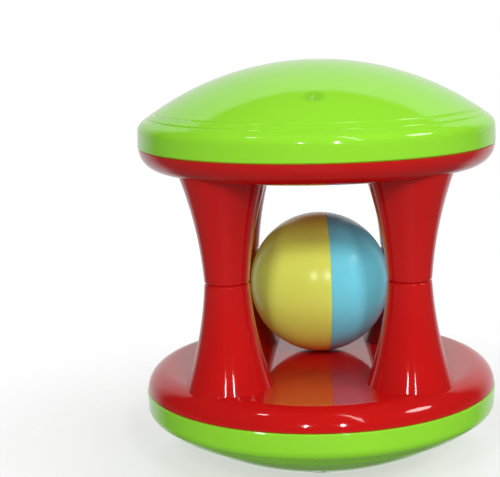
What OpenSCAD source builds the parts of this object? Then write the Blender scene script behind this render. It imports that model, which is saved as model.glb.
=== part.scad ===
// Cage rattle: two domed covers, two frames with four posts and a loose two-colour ball.
// The toy stands on the middle of the bottom dome: origin there, +Z up, -Y towards the viewer.

/* [Rim and covers] */
// Diameter of the covers at the rim
rim_d = 115; // [100:1:130]
// Height of the cover's upright band above the seam
band_h = 5.2; // [4:0.1:6]
// How far the band leans in over its height
band_taper = 0.15; // [0:0.05:0.4]
// Bevel of the cover's and the frame's edges where they meet at the seam
rim_bevel = 0.4; // [0.2:0.05:0.5]
// Radius of the shoulder between the band and the dome
shoulder_r = 3.7; // [3:0.1:4.5]
// Rise of the full dome above the seam
dome_rise = 26.7; // [24:0.1:30]
// Diameter of the small flat at the pole, on which the toy stands
pole_flat_d = 12; // [8:0.5:16]
// Wall of the covers
cover_wall = 2; // [1.6:0.1:2.6]
// Distance in from the rim of the inner ring line
ring_in = 5.5; // [5:0.1:7]
// Distance in from the rim of the outer ring line
ring_out = 3.1; // [2.6:0.1:3.6]
// Depth of the ring lines
ring_depth = 0.25; // [0.15:0.05:0.4]
// Radius of the hollow of a ring line
ring_round = 0.9; // [0.6:0.1:1.2]
// Diameter of the shallow dimple over each peg
dimple_d = 8; // [6:0.1:9]
// Depth of the dimple
dimple_depth = 0.15; // [0.1:0.05:0.3]
// Diameter of the pegs that hold a cover
peg_d = 6; // [5:0.1:7]

/* [Frames] */
// Distance from the waist to the face of the plate
plate_half = 32.8; // [31:0.1:36]
// Depth of the dished plate, from its face to the rim seam
dish_h = 7; // [6:0.1:9]
// Inset of the frame's edge at the seam
seam_inset = 0.2; // [0:0.05:0.4]
// Lean of the plate's edge from upright, in degrees
edge_lean = 2; // [0:1:10]
// Radius of the plate's rounded edge
edge_r = 7.1; // [5:0.1:7.2]
// Wall of the frames
frame_wall = 2.2; // [1.8:0.1:2.6]
// Height of the frame's rim spigot inside the cover
spigot_h = 2.5; // [2:0.1:3.5]
// Wall of the rim spigot
spigot_wall = 1.8; // [1.4:0.1:2.4]
// Wall of the sockets that take the pegs
socket_wall = 1.8; // [1.4:0.1:2.4]

/* [Posts] */
// Clear gap between the feet of two posts side by side
post_gap = 29.3; // [26:0.1:32]
// Diameter of a post at the waist
waist_d = 13.9; // [12:0.1:16]
// Diameter of a post where it reaches the plate
base_d = 27; // [24:0.1:29]
// How far the post's side is hollowed between its ends
post_sag = 1.15; // [0.8:0.05:1.4]
// Radius of a half post's edge where it meets its other half
waist_round = 0.8; // [0.4:0.1:1.2]
// Wall of the hollow post
post_wall = 2; // [1.6:0.1:2.6]
// Thickness of the wall that closes a post at the waist
web_t = 4; // [3.6:0.1:6]
// Diameter of the spigot that lines up two half posts
register_d = 7; // [6:0.1:8]
// Height of that spigot
register_h = 1.8; // [1.2:0.1:2.2]

/* [Screws] */
// Diameter of the screw's shank
screw_d = 3; // [2.5:0.1:3.5]
// Diameter of the screw's head
head_d = 5.6; // [5:0.1:6.2]
// Height of the screw's head
head_h = 1.9; // [1.5:0.1:2.4]
// Length of the screw under its head
screw_l = 12; // [9:0.5:12]
// Diameter of the driver recess
recess_d = 2.6; // [2:0.1:3]
// Depth of the driver recess
recess_h = 1.1; // [0.8:0.1:1.2]
// Spare depth of the screw's hole past its point
pilot_spare = 1; // [0.5:0.1:2]
// Thickness that closes the screw's hole
pilot_cap = 1.5; // [1:0.1:2]

/* [Ball] */
// Diameter of the loose ball
ball_d = 47; // [46:0.1:48]
// Wall of the ball's halves
ball_wall = 2.2; // [2:0.1:2.6]
// Distance of the ball's seam from its middle, towards the blue half
ball_seam_off = 2.3; // [0:0.1:3]
// Bevel of the ball's edges at its seam
ball_bevel = 0.2; // [0.1:0.05:0.3]
// Turn of the ball about the upright axis, in degrees
ball_turn = 4.5; // [-45:0.5:45]
// Length of the yellow half's tongue inside the blue half
tongue_l = 2.5; // [2:0.1:4]
// Diameter of the rattle pellets
pellet_d = 5; // [4:0.1:5.4]

/* [Fits] */
// Play between pieces that are pressed or located in each other, on the radius
fit_gap = 0.05; // [0.02:0.01:0.1]
// Gap round the loose pieces where they lie
loose_gap = 0.3; // [0.2:0.05:0.5]

/* [Hidden] */
$fn = 96;

lime = "#8fd133";
red = "#b81517";
yellow = "#c9cf4a";
sky = "#68c4d8";
ivory = "#ece6d2";
steel = "#b9bcc0";

// Cover: heights are counted from the seam towards the pole.
rim_r = rim_d / 2;
shoulder_x = rim_r - band_taper - shoulder_r;
dome_drop = band_h - dome_rise;
dome_r = (shoulder_r * shoulder_r - shoulder_x * shoulder_x - dome_drop * dome_drop)
    / (2 * (dome_drop + shoulder_r));
dome_z = dome_rise - dome_r;
shoulder_angle = atan2(band_h - dome_z, shoulder_x);
pole_h = dome_z + sqrt(dome_r * dome_r - pow(pole_flat_d / 2, 2));
cavity_r = dome_r - cover_wall;
mouth_r = rim_r - cover_wall;
peg_r = peg_d / 2;
peg_end = frame_wall + loose_gap - dish_h;
post_off = (post_gap + base_d) / 2;
pitch_r = post_off * sqrt(2);
dimple_r = (pow(dimple_d / 2, 2) + dimple_depth * dimple_depth) / (2 * dimple_depth);
dimple_tilt = asin(pitch_r / dome_r);

// Frame: heights are counted from the waist towards the plate.
seam_half = plate_half + dish_h;
edge_rim = rim_r - seam_inset;
edge_z = plate_half + edge_r;
edge_x = edge_rim - (edge_r - (edge_z - seam_half) * sin(edge_lean)) / cos(edge_lean);
spigot_r = mouth_r - fit_gap;
socket_r = peg_r + fit_gap;
socket_top = seam_half + spigot_h;

// Post: its side is an arc through the waist and the base.
waist_r = waist_d / 2;
foot_r = base_d / 2;
chord = sqrt(plate_half * plate_half + pow(foot_r - waist_r, 2));
flare_r = chord * chord / (8 * post_sag) + post_sag / 2;
flare_x = (waist_r + foot_r) / 2 + plate_half / chord * (flare_r - post_sag);
flare_z = plate_half / 2 - (foot_r - waist_r) / chord * (flare_r - post_sag);
function post_r(z) = flare_x - sqrt(flare_r * flare_r - pow(z - flare_z, 2));
function post_lean(z) = asin((z - flare_z) / flare_r);
round_x = flare_x - sqrt(pow(flare_r + waist_round, 2) - pow(waist_round - flare_z, 2));
flare_centre = [flare_x, flare_z];
round_centre = [round_x, waist_round];
round_touch = round_centre + (flare_centre - round_centre) * waist_round / (flare_r + waist_round);
register_r = register_d / 2;
shank_hole_r = screw_d / 2 + fit_gap;
pilot_end = screw_l - web_t + pilot_spare;

// Ball: it lies on the lower plate against the two rear posts.
ball_r = ball_d / 2;
ball_low = plate_half - loose_gap - ball_r;
ball_reach = post_r(ball_low) + (ball_r + loose_gap) / cos(post_lean(ball_low));
ball_y = post_off - sqrt(ball_reach * ball_reach - post_off * post_off);
ball_inner_r = ball_r - ball_wall;
ball_seam_r = sqrt(ball_r * ball_r - ball_seam_off * ball_seam_off);
tongue_r = ball_r - ball_wall / 2;
pellet_r = pellet_d / 2;
pellet_orbit = ball_inner_r - pellet_r - loose_gap;
pellet_angle = 2 * asin((pellet_d + loose_gap) / (2 * pellet_orbit));
pellets_round = 5;

waist_z = pole_h + seam_half;
ball_z = waist_z - ball_low;
echo(waist_z = waist_z, height = 2 * waist_z, ball_y = ball_y, ball_z = ball_z, orbit = pellet_orbit);

// Slice of the dome's disc, from its edge at the shoulder to the axis
module dome_slice() {
    reach = 2 * dome_r;
    intersection() {
        translate([0, dome_z]) circle(r = dome_r, $fn = 256);
        polygon([[0, dome_z], [reach * cos(shoulder_angle), dome_z + reach * sin(shoulder_angle)],
            [0, reach]]);
    }
}

// Section of the hollow that draws a ring line on the dome, at a distance in from the rim
module ring_line(inset) {
    angle = acos((rim_r - inset) / dome_r);
    reach = dome_r - ring_depth + ring_round;
    translate([reach * cos(angle), dome_z + reach * sin(angle)]) circle(r = ring_round);
}

// Half section of a cover's outside, with its ring lines and the flat at the pole
module cover_outline() {
    difference() {
        intersection() {
            square([rim_d, pole_h]);
            union() {
                polygon([[0, 0], [rim_r - rim_bevel, 0], [rim_r, rim_bevel],
                    [rim_r - band_taper, band_h], [0, band_h]]);
                translate([shoulder_x, band_h]) circle(r = shoulder_r);
                dome_slice();
            }
        }
        ring_line(ring_in);
        ring_line(ring_out);
    }
}

// Half section of the space inside a cover
module cover_cavity() {
    intersection() {
        translate([0, dome_z]) circle(r = cavity_r, $fn = 256);
        translate([0, -band_h]) square([mouth_r, rim_r]);
    }
}

// One cover with its seam at z = 0 and its pole upwards
module cover() {
    difference() {
        union() {
            rotate_extrude() difference() {
                cover_outline();
                cover_cavity();
            }
            intersection() {
                at_pegs() translate([0, 0, peg_end]) cylinder(r = peg_r, h = dome_rise);
                translate([0, 0, dome_z]) sphere(r = cavity_r + cover_wall / 2);
            }
        }
        for (a = [0:90:270])
            rotate(a) translate([0, 0, dome_z]) rotate([0, dimple_tilt, 0])
                translate([0, 0, dome_r + dimple_r - dimple_depth]) sphere(r = dimple_r);
    }
}

// Half section of the plate's outside, set in by a wall
module plate_outline(inset) {
    r = edge_r - inset;
    polygon([[0, plate_half + inset], [edge_x, plate_half + inset],
        [edge_x + r * cos(edge_lean), edge_z - r * sin(edge_lean)],
        [edge_rim - inset / cos(edge_lean), seam_half], [0, seam_half]]);
    translate([edge_x, edge_z]) circle(r = r);
}

// Half section of the dished plate, open at the seam
module plate_section() {
    difference() {
        intersection() {
            square([rim_d, seam_half]);
            plate_outline(0);
        }
        plate_outline(frame_wall);
        translate([0, seam_half - fit_gap]) square([edge_rim - frame_wall / cos(edge_lean), edge_r]);
        translate([edge_rim, seam_half]) polygon(rim_bevel * [[-2, 1], [1, 1], [1, -2]]);
    }
}

// Half section of a post's outside, hollowed by the flare, rounded at the waist and sunk into the plate
module post_outline() {
    difference() {
        square([foot_r + post_sag, plate_half + frame_wall / 2]);
        translate(flare_centre) circle(r = flare_r, $fn = 512);
        difference() {
            polygon([[round_x, -waist_round], [foot_r, -waist_round], round_touch, round_centre]);
            translate(round_centre) circle(r = waist_round);
        }
    }
}

// Places of the posts on the given sides, -1 for the front and 1 for the rear of the moulding
module at_posts(sides) {
    for (x = [-1, 1])
        for (y = sides)
            translate([x * post_off, y * post_off, 0]) children();
}

// Places of the pegs and their sockets, between the posts
module at_pegs() {
    for (a = [0:90:270])
        rotate(a) translate([pitch_r, 0, 0]) children();
}

// Hollow of a post behind the wall at its waist
module post_hollow() {
    top_r = foot_r - post_wall - post_sag;
    translate([0, 0, web_t]) cylinder(r1 = post_r(web_t) - post_wall, r2 = top_r, h = plate_half - web_t);
    translate([0, 0, plate_half]) cylinder(r = top_r, h = seam_half);
}

// One frame with the waist at z = 0 and its plate upwards; the spigots are on the front posts
module frame_half() {
    difference() {
        union() {
            difference() {
                union() {
                    rotate_extrude() plate_section();
                    at_posts([-1, 1]) rotate_extrude() post_outline();
                }
                at_posts([-1, 1]) post_hollow();
            }
            rotate_extrude() translate([spigot_r - spigot_wall, seam_half - spigot_h])
                square([spigot_wall, 2 * spigot_h]);
            at_pegs() translate([0, 0, plate_half + frame_wall / 2])
                cylinder(r = socket_r + socket_wall, h = socket_top - plate_half - frame_wall / 2);
            at_posts([-1]) translate([0, 0, -register_h])
                cylinder(r = register_r, h = register_h + pilot_end + pilot_cap);
        }
        at_pegs() translate([0, 0, plate_half + frame_wall]) cylinder(r = socket_r, h = socket_top);
        at_posts([-1]) translate([0, 0, -2 * register_h])
            cylinder(r = shank_hole_r, h = 2 * register_h + pilot_end);
        at_posts([1]) {
            translate([0, 0, -register_h]) cylinder(r = register_r + fit_gap, h = 2 * register_h + fit_gap);
            cylinder(r = shank_hole_r, h = 2 * web_t);
        }
    }
}

// One screw with the underside of its head at z = 0 and its point downwards
module screw() {
    difference() {
        union() {
            cylinder(d = head_d, h = head_h);
            translate([0, 0, -screw_l]) cylinder(d = screw_d, h = screw_l + head_h / 2);
        }
        translate([0, 0, head_h - recess_h]) cylinder(d = recess_d, h = head_h, $fn = 6);
    }
}

// Turns a child so that +Z points along the ball's axis, from yellow to blue
module at_ball() {
    translate([0, ball_y, ball_z]) rotate([0, 0, ball_turn]) rotate([0, 90, 0]) children();
}

// Space on the blue side of the ball's seam
module blue_side() {
    translate([0, 0, ball_seam_off]) cylinder(r = ball_d, h = ball_d);
}

// Fine groove that the bevelled edges of the two halves leave at the seam
module seam_groove() {
    translate([0, 0, ball_seam_off]) rotate_extrude() translate([ball_seam_r, 0])
        polygon(ball_bevel * [[-1, 0], [1, 2], [1, -2]]);
}

// Slice of the ball round its seam, in which the tongue lies
module tongue_zone(play) {
    translate([0, 0, ball_seam_off - tongue_l]) cylinder(r = ball_r, h = 2 * tongue_l + play);
}

module bottom_cover() color(lime) translate([0, 0, pole_h]) rotate([180, 0, 0]) cover();

module top_cover() color(lime) translate([0, 0, waist_z + seam_half]) cover();

module upper_frame() color(red) translate([0, 0, waist_z]) frame_half();

module lower_frame() color(red) translate([0, 0, waist_z]) rotate([180, 0, 0]) frame_half();

module post_screws() color(steel) translate([0, 0, waist_z])
    for (x = [-1, 1]) {
        translate([x * post_off, post_off, web_t]) screw();
        rotate([180, 0, 0]) translate([x * post_off, post_off, web_t]) screw();
    }

module ball_yellow_half() color(yellow) at_ball() {
    difference() {
        sphere(r = ball_r);
        sphere(r = ball_inner_r);
        blue_side();
        seam_groove();
    }
    intersection() {
        difference() {
            sphere(r = tongue_r - fit_gap);
            sphere(r = ball_inner_r);
        }
        tongue_zone(0);
    }
}

module ball_blue_half() color(sky) at_ball() intersection() {
    blue_side();
    difference() {
        sphere(r = ball_r);
        sphere(r = ball_inner_r);
        seam_groove();
        intersection() {
            sphere(r = tongue_r);
            tongue_zone(fit_gap);
        }
    }
}

// Pellet 1 lies at the lowest point inside the ball, the others round it
module rattle_pellet(i) color(ivory) translate([0, ball_y, ball_z])
    rotate([0, 0, i * 360 / pellets_round]) rotate([0, i == 0 ? 0 : -pellet_angle, 0])
        translate([0, 0, -pellet_orbit]) sphere(r = pellet_r);

bottom_cover();
lower_frame();
upper_frame();
top_cover();
post_screws();
ball_yellow_half();
ball_blue_half();
rattle_pellet(0);  // rattle_pellet_1
rattle_pellet(1);  // rattle_pellet_2
rattle_pellet(2);  // rattle_pellet_3
rattle_pellet(3);  // rattle_pellet_4
rattle_pellet(4);  // rattle_pellet_5
rattle_pellet(5);  // rattle_pellet_6
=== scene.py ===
# %% [markdown]
# # A cage rattle, finished and lit
# This baby's rattle is a cage: two domed covers on two round plates, held apart by four posts, with a
# loose ball caged between them. The solids come from the part's own model, in metres, and stay exactly
# where they are. What Blender adds is what the eye sees: the plastics, the light and the camera.

# %% Load the solids
import math

import bpy
from mathutils import Matrix, Vector

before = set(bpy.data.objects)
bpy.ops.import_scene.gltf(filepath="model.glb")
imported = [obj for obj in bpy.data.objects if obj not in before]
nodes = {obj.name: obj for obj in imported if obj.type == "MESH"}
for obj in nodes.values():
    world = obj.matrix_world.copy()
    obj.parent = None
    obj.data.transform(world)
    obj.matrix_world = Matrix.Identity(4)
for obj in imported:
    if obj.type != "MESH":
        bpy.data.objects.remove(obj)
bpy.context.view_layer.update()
MM = 0.001
print("solids:", ", ".join(sorted(nodes)))

# %% [markdown]
# ## Helpers for the finishes
# Colours are read off a screen as sRGB hex values, while Blender's shaders count in linear light, so one
# function turns the one into the other. A second small function adds a node, sets its options and links
# its sockets, which keeps each finish below short enough to read as a recipe.

# %% Colour and node helpers
def linear(hex_colour):
    """An sRGB hex colour as linear red, green, blue and alpha."""
    channels = [int(hex_colour[i:i + 2], 16) / 255 for i in (1, 3, 5)]
    return [c / 12.92 if c <= 0.04045 else ((c + 0.055) / 1.055) ** 2.4 for c in channels] + [1.0]


def add(tree, kind, inputs=None, **settings):
    """Adds a node. Each input is a value, or the socket that feeds it."""
    node = tree.nodes.new(kind)
    for name, value in settings.items():
        setattr(node, name, value)
    for name, value in (inputs or {}).items():
        socket = node.inputs[name]
        if isinstance(value, bpy.types.NodeSocket):
            tree.links.new(value, socket)
        else:
            socket.default_value = value
    return node


def per_metre(size_mm):
    """Texture scale at which one cell of a pattern is size_mm across."""
    return 1 / (size_mm * MM)


def fade_out(tree, value, start, end):
    """1 up to the start and 0 from the end on, with a soft passage between them."""
    return add(tree, "ShaderNodeMapRange", {
        "Value": value, "From Min": start, "From Max": end, "To Min": 1.0, "To Max": 0.0},
        interpolation_type="SMOOTHSTEP").outputs["Result"]


def times(tree, a, b):
    return add(tree, "ShaderNodeMath", {0: a, 1: b}, operation="MULTIPLY").outputs[0]


def start_material(name):
    material = bpy.data.materials.new(name)
    material.use_nodes = True
    material.node_tree.nodes.clear()
    return material, material.node_tree


def end_material(tree, shader):
    add(tree, "ShaderNodeOutputMaterial", {"Surface": shader.outputs["BSDF"]})


# %% [markdown]
# ## Glossy moulded polystyrene
# The covers and frames are injection moulded in a polished steel tool, so the skin is almost a mirror. A
# polished skin is never perfectly flat, though: the plastic shrinks a little as it cools, which leaves
# slow waves a couple of centimetres long and a few hundredths of a millimetre deep. They make reflections
# swim slightly. Handling adds faint hairlines that only show where a light glances off. A plain glossy
# shader would look like glass beads, so the waves go into the bump and the hairlines into the roughness.
#
# Each cover has four pegs inside. Over a peg the plastic is thicker and sinks in a little as it cools. The
# sink mark is in the solid. Its shallow dip looks darker, and that shade is painted here as a darker green:
# the surface is folded into one quarter, and the distance to the one peg that is left there blends in the
# painted shade.

# %% Polystyrene
POLYSTYRENE_IOR = 1.55
WAVE_MM = 22
HAIRLINE_MM = 1.4
PEG_CIRCLE_MM = 39.8


def over_pegs(tree, place):
    """1 over the four pegs of a cover and 0 elsewhere, counted in plan."""
    flat = add(tree, "ShaderNodeVectorMath", {0: place, 1: (1, 1, 0)}, operation="MULTIPLY")
    turned = add(tree, "ShaderNodeVectorRotate", {"Vector": flat.outputs["Vector"], "Angle": math.pi / 4},
                 rotation_type="Z_AXIS")
    folded = add(tree, "ShaderNodeVectorMath", {0: turned.outputs["Vector"]}, operation="ABSOLUTE")
    peg = PEG_CIRCLE_MM * MM * math.sqrt(0.5)
    gap = add(tree, "ShaderNodeVectorMath", {0: folded.outputs["Vector"], 1: (peg, peg, 0)},
              operation="DISTANCE")
    return fade_out(tree, gap.outputs["Value"], 1.5 * MM, 4.4 * MM)


def moulded_polystyrene(name, colour, shade, roughness, painted_sink_shade=None):
    material, tree = start_material(name)
    place = add(tree, "ShaderNodeTexCoord").outputs["Object"]
    clouds = add(tree, "ShaderNodeTexNoise", {"Vector": place, "Scale": per_metre(WAVE_MM), "Detail": 2.0})
    tint = add(tree, "ShaderNodeMix", {"Factor": clouds.outputs["Fac"], "A": linear(shade),
                                       "B": linear(colour)}, data_type="RGBA")
    # Painted shade: a darker green is blended in over each sink mark, for the shade in its shallow dip.
    if painted_sink_shade:
        tint = add(tree, "ShaderNodeMix", {"Factor": over_pegs(tree, place), "A": tint.outputs["Result"],
                                           "B": linear(painted_sink_shade)}, data_type="RGBA")
    hairlines = add(tree, "ShaderNodeTexNoise", {"Vector": place, "Scale": per_metre(HAIRLINE_MM),
                                                 "Detail": 3.0, "Distortion": 1.5})
    polish = add(tree, "ShaderNodeMapRange", {"Value": hairlines.outputs["Fac"], "From Min": 0.35,
                                              "From Max": 0.75, "To Min": roughness, "To Max": roughness * 1.6})
    waves = add(tree, "ShaderNodeBump", {"Height": clouds.outputs["Fac"], "Strength": 0.05,
                                         "Distance": 0.3 * MM})
    shader = add(tree, "ShaderNodeBsdfPrincipled", {
        "Base Color": tint.outputs["Result"], "Roughness": polish.outputs["Result"],
        "IOR": POLYSTYRENE_IOR, "Normal": waves.outputs["Normal"]})
    end_material(tree, shader)
    return material


# The last colour is the painted shade over the sink marks of the lime covers.
lime_polystyrene = moulded_polystyrene("lime_polystyrene_moulded", "#92dc32", "#8cd52e", 0.07, "#82c82b")
red_polystyrene = moulded_polystyrene("red_polystyrene_moulded", "#c01413", "#b91211", 0.06)
print("made", lime_polystyrene.name, "and", red_polystyrene.name)

# %% [markdown]
# ## Softer moulded polypropylene
# The ball's two halves have a softer shine. Polypropylene is a waxy plastic, and its skin spreads a
# highlight more than polystyrene does, so the roughness is higher and a fine grain breaks the shine up.

# %% Polypropylene
POLYPROPYLENE_IOR = 1.49
GRAIN_MM = 0.6


def moulded_polypropylene(name, colour, shade, roughness):
    material, tree = start_material(name)
    place = add(tree, "ShaderNodeTexCoord").outputs["Object"]
    clouds = add(tree, "ShaderNodeTexNoise", {"Vector": place, "Scale": per_metre(WAVE_MM), "Detail": 3.0})
    tint = add(tree, "ShaderNodeMix", {"Factor": clouds.outputs["Fac"], "A": linear(shade),
                                       "B": linear(colour)}, data_type="RGBA")
    grain = add(tree, "ShaderNodeTexNoise", {"Vector": place, "Scale": per_metre(GRAIN_MM), "Detail": 2.0})
    sheen = add(tree, "ShaderNodeMapRange", {"Value": grain.outputs["Fac"], "From Min": 0.3, "From Max": 0.7,
                                             "To Min": roughness * 0.9, "To Max": roughness * 1.2})
    skin = add(tree, "ShaderNodeBump", {"Height": grain.outputs["Fac"], "Strength": 0.01,
                                        "Distance": 0.05 * MM})
    shader = add(tree, "ShaderNodeBsdfPrincipled", {
        "Base Color": tint.outputs["Result"], "Roughness": sheen.outputs["Result"],
        "IOR": POLYPROPYLENE_IOR, "Normal": skin.outputs["Normal"]})
    end_material(tree, shader)
    return material


yellow_polypropylene = moulded_polypropylene("yellow_polypropylene_moulded", "#e9f56a", "#e3ef65", 0.22)
blue_polypropylene = moulded_polypropylene("blue_polypropylene_moulded", "#79e0f4", "#73d8ed", 0.22)
ivory_polypropylene = moulded_polypropylene("ivory_polypropylene_tumbled", "#ece6d2", "#e2dbc4", 0.45)
print("made", yellow_polypropylene.name, blue_polypropylene.name, ivory_polypropylene.name)

# %% [markdown]
# ## Zinc-plated steel
# The screws inside the posts are plated, which gives a pale grey metal with a slightly cloudy shine.

# %% Zinc plate
SPANGLE_MM = 0.8


def zinc_plated_steel(name, colour, shade):
    material, tree = start_material(name)
    place = add(tree, "ShaderNodeTexCoord").outputs["Object"]
    spangle = add(tree, "ShaderNodeTexVoronoi", {"Vector": place, "Scale": per_metre(SPANGLE_MM)})
    tint = add(tree, "ShaderNodeMix", {"Factor": spangle.outputs["Distance"], "A": linear(colour),
                                       "B": linear(shade)}, data_type="RGBA")
    cloud = add(tree, "ShaderNodeMapRange", {"Value": spangle.outputs["Distance"], "To Min": 0.28,
                                             "To Max": 0.4})
    shader = add(tree, "ShaderNodeBsdfPrincipled", {
        "Base Color": tint.outputs["Result"], "Roughness": cloud.outputs["Result"], "Metallic": 1.0})
    end_material(tree, shader)
    return material


zinc = zinc_plated_steel("zinc_plated_steel", "#c3c6ca", "#a4a8ad")
print("made", zinc.name)

# %% [markdown]
# ## Dress the solids
# Every solid keeps its shape and gets its finish by name. The pellets and screws are shut inside, but they
# are dressed too, because someone may take the rattle apart.

# %% Finish by piece
finishes = {
    "top_cover": lime_polystyrene, "bottom_cover": lime_polystyrene,
    "upper_frame": red_polystyrene, "lower_frame": red_polystyrene,
    "ball_yellow_half": yellow_polypropylene, "ball_blue_half": blue_polypropylene,
    "post_screws": zinc,
}
for name, piece in nodes.items():
    piece.data.materials.clear()
    piece.data.materials.append(finishes.get(name, ivory_polypropylene))
print("dressed", len(nodes), "solids")

# %% [markdown]
# ## The world: a white board behind the toy
# Polished plastic looks like the room that it mirrors, so the room comes before the lamps. A tall white
# board stands behind the toy on a white table, and the rest of the room is dim. On the upper dome the
# board's straight top edge bends into a pale arch, and the board's sides fade out along the rims. It is
# drawn in the world, by the direction of a ray: how far up and how far aside it goes for each step back, and
# how steeply down. So it is endlessly far away and needs no placing. The camera sees plain white behind the
# toy.

# %% World
BOARD_LEVEL = 0.85
BOARD_TOP = 1.19
TOP_BLUR = 0.06
BOARD_SIDE = 1.2
SIDE_BLUR = 0.55
BOARD_FOOT = 0.54
FOOT_BLUR = 0.08
ROOM_LEVEL = 0.05
FLOOR_LEVEL = 0.15

world = bpy.data.worlds.new("studio")
bpy.context.scene.world = world
world.use_nodes = True
tree = world.node_tree
tree.nodes.clear()
way = add(tree, "ShaderNodeSeparateXYZ", {"Vector": add(tree, "ShaderNodeTexCoord").outputs["Generated"]})
back = add(tree, "ShaderNodeMath", {0: way.outputs["Y"], 1: 0.02}, operation="MAXIMUM")
rise = add(tree, "ShaderNodeMath", {0: way.outputs["Z"], 1: back.outputs[0]}, operation="DIVIDE")
aside = add(tree, "ShaderNodeMath", {0: way.outputs["X"], 1: back.outputs[0]}, operation="DIVIDE")
aside = add(tree, "ShaderNodeMath", {0: aside.outputs[0]}, operation="ABSOLUTE")

below = times(tree, way.outputs["Z"], -1.0)
behind = add(tree, "ShaderNodeMath", {0: way.outputs["Y"], 1: 0.02}, operation="GREATER_THAN")
on_board = behind.outputs[0]
for value, edge, blur in ((rise.outputs[0], BOARD_TOP, TOP_BLUR), (aside.outputs[0], BOARD_SIDE, SIDE_BLUR),
                          (below, BOARD_FOOT, FOOT_BLUR)):
    on_board = times(tree, on_board, fade_out(tree, value, edge - blur, edge + blur))
room = add(tree, "ShaderNodeMapRange", {"Value": way.outputs["Z"], "From Min": -0.1, "From Max": 0.1,
                                        "To Min": FLOOR_LEVEL, "To Max": ROOM_LEVEL})
seen = add(tree, "ShaderNodeMapRange", {"Value": on_board, "To Min": room.outputs["Result"],
                                        "To Max": BOARD_LEVEL})
camera_ray = add(tree, "ShaderNodeLightPath").outputs["Is Camera Ray"]
level = add(tree, "ShaderNodeMath", {0: seen.outputs["Result"], 1: camera_ray}, operation="MAXIMUM")
light = add(tree, "ShaderNodeBackground", {"Color": [1, 1, 1, 1], "Strength": level.outputs[0]})
add(tree, "ShaderNodeOutputWorld", {"Surface": light.outputs["Background"]})
print("made world", world.name)

# %% [markdown]
# ## The floor
# The toy stands on a small sheet of thin white tissue. A sheet of solid card that reached far forwards
# would throw light up under the rims and wash out the red. The tissue lets some of the white behind it
# through, so it looks pale and still takes the toy's shadow, and it fades out into the white background
# all round. A plane with a fading mix of a matt surface and nothing does both. It stays out of the mirror
# images, where the table in the world takes its place.

# %% Floor
FLOOR_SIZE = 0.4
TISSUE_COVER = 0.45
FADE_FROM = 0.05
FADE_TO = 0.17

bpy.ops.mesh.primitive_plane_add(size=FLOOR_SIZE, location=(0, 0.02, 0))
floor = bpy.context.object
floor.name = "floor"
floor.visible_glossy = False
material, tree = start_material("white_tissue")
place = add(tree, "ShaderNodeTexCoord").outputs["Object"]
reach = add(tree, "ShaderNodeVectorMath", {0: place}, operation="LENGTH")
cover = times(tree, fade_out(tree, reach.outputs["Value"], FADE_FROM, FADE_TO), TISSUE_COVER)
clear = add(tree, "ShaderNodeBsdfTransparent")
matt = add(tree, "ShaderNodeBsdfDiffuse", {"Color": linear("#f4f4f4")})
mixed = add(tree, "ShaderNodeMixShader", {"Fac": cover, 1: clear.outputs["BSDF"],
                                          2: matt.outputs["BSDF"]})
add(tree, "ShaderNodeOutputMaterial", {"Surface": mixed.outputs["Shader"]})
floor.data.materials.append(material)
print("made", floor.name, "of", material.name)

# %% [markdown]
# ## The lamps
# On a polished skin every lamp shows as a spot in its own shape, so the spots tell where the lamps stand. A
# narrow pair low in front draws the two fine streaks down each foot and the two dots on the rim. A tube on
# the ceiling, a window on the right and a small lamp high on the left give the other spots.
#
# Such bright small lamps carry little light. The shading comes from soft ones that are kept out of the
# mirror images: two keys in front, whose crossed shadows darken both flanks of the ball, a fill on each
# side, one from the ceiling, and the light that a white table throws back up under the rims.
#
# Each lamp is given by its bearing from the toy, its height in degrees, its distance and its width and
# height in metres, as one would set up lamp stands round a table.

# %% Lamps
CENTRE = Vector((0, 0, 0.0663))


def lamp(name, azimuth, elevation, distance, wide, tall, power, seen=True):
    """An oval lamp. Azimuth 0 is in front of the toy and grows to its right, in degrees."""
    a, e = math.radians(azimuth), math.radians(elevation)
    way = Vector((math.sin(a) * math.cos(e), -math.cos(a) * math.cos(e), math.sin(e)))
    data = bpy.data.lights.new(name, "AREA")
    data.shape = "ELLIPSE"
    data.size = wide
    data.size_y = tall
    data.energy = power
    lamp_object = bpy.data.objects.new(name, data)
    bpy.context.collection.objects.link(lamp_object)
    lamp_object.location = CENTRE + way * distance
    lamp_object.rotation_euler = (-way).to_track_quat("-Z", "Y").to_euler()
    lamp_object.visible_glossy = seen
    print("made", name)
    return lamp_object


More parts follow.
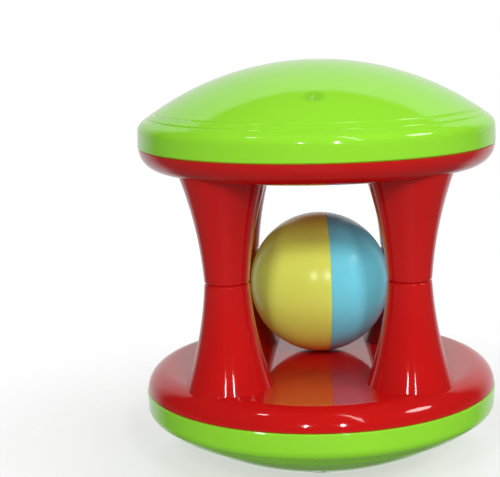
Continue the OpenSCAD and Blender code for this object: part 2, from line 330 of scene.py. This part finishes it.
lamp("front_lamp_left", -9.5, 20, 1.0, 0.03, 0.2, 1.0)
lamp("front_lamp_right", 13.5, 20, 1.0, 0.03, 0.2, 1.0)
lamp("ceiling_tube", 28, 50, 1.0, 0.04, 0.9, 0.7)
lamp("window_right", 76, 38, 1.0, 0.3, 0.22, 1.6)
lamp("high_lamp_left", -62, 60, 1.0, 0.08, 0.08, 0.3)
lamp("key_left", -12, 30, 1.2, 0.16, 0.16, 3.15, seen=False)
lamp("key_right", 16, 30, 1.2, 0.16, 0.16, 3.15, seen=False)
lamp("right_fill", 65, 25, 1.2, 0.4, 0.4, 3.2, seen=False)
lamp("left_fill", -60, 22, 1.2, 0.5, 0.5, 1.9, seen=False)
lamp("floor_bounce", 0, -35, 1.0, 0.6, 0.6, 2.2, seen=False)
lamp("ceiling_fill", 0, 88, 1.2, 1.0, 1.0, 3.6, seen=False)

# %% [markdown]
# ## The camera
# A long lens from a little above, a good arm's length away, gives the calm perspective of a catalogue shot.
# The toy stands right of the middle of the frame. Turning the camera would tilt its uprights, so the frame
# is shifted instead, as with a shift lens.

# %% Camera
LENS_MM = 97.95
SHIFT = -0.135
YAW, PITCH, ROLL = (math.radians(v) for v in (-0.763, 10.286, -1.133))
EYE = Vector((5.51, -438.38, 153.98)) * MM

camera_data = bpy.data.cameras.new("camera")
camera_data.sensor_width = 36
camera_data.lens = LENS_MM
camera_data.shift_x = SHIFT
camera_data.clip_start = 0.01
camera = bpy.data.objects.new("camera", camera_data)
bpy.context.collection.objects.link(camera)
camera.matrix_world = (Matrix.Translation(EYE) @ Matrix.Rotation(-YAW, 4, "Z")
                       @ Matrix.Rotation(math.pi / 2 - PITCH, 4, "X") @ Matrix.Rotation(ROLL, 4, "Z"))
bpy.context.scene.camera = camera
bpy.context.scene.view_settings.view_transform = "Standard"
print("made", camera.name)

# %% [markdown]
# ## Finish
# The dressed toy has to be exactly as large as its solids.

# %% Finish
bpy.context.view_layer.update()
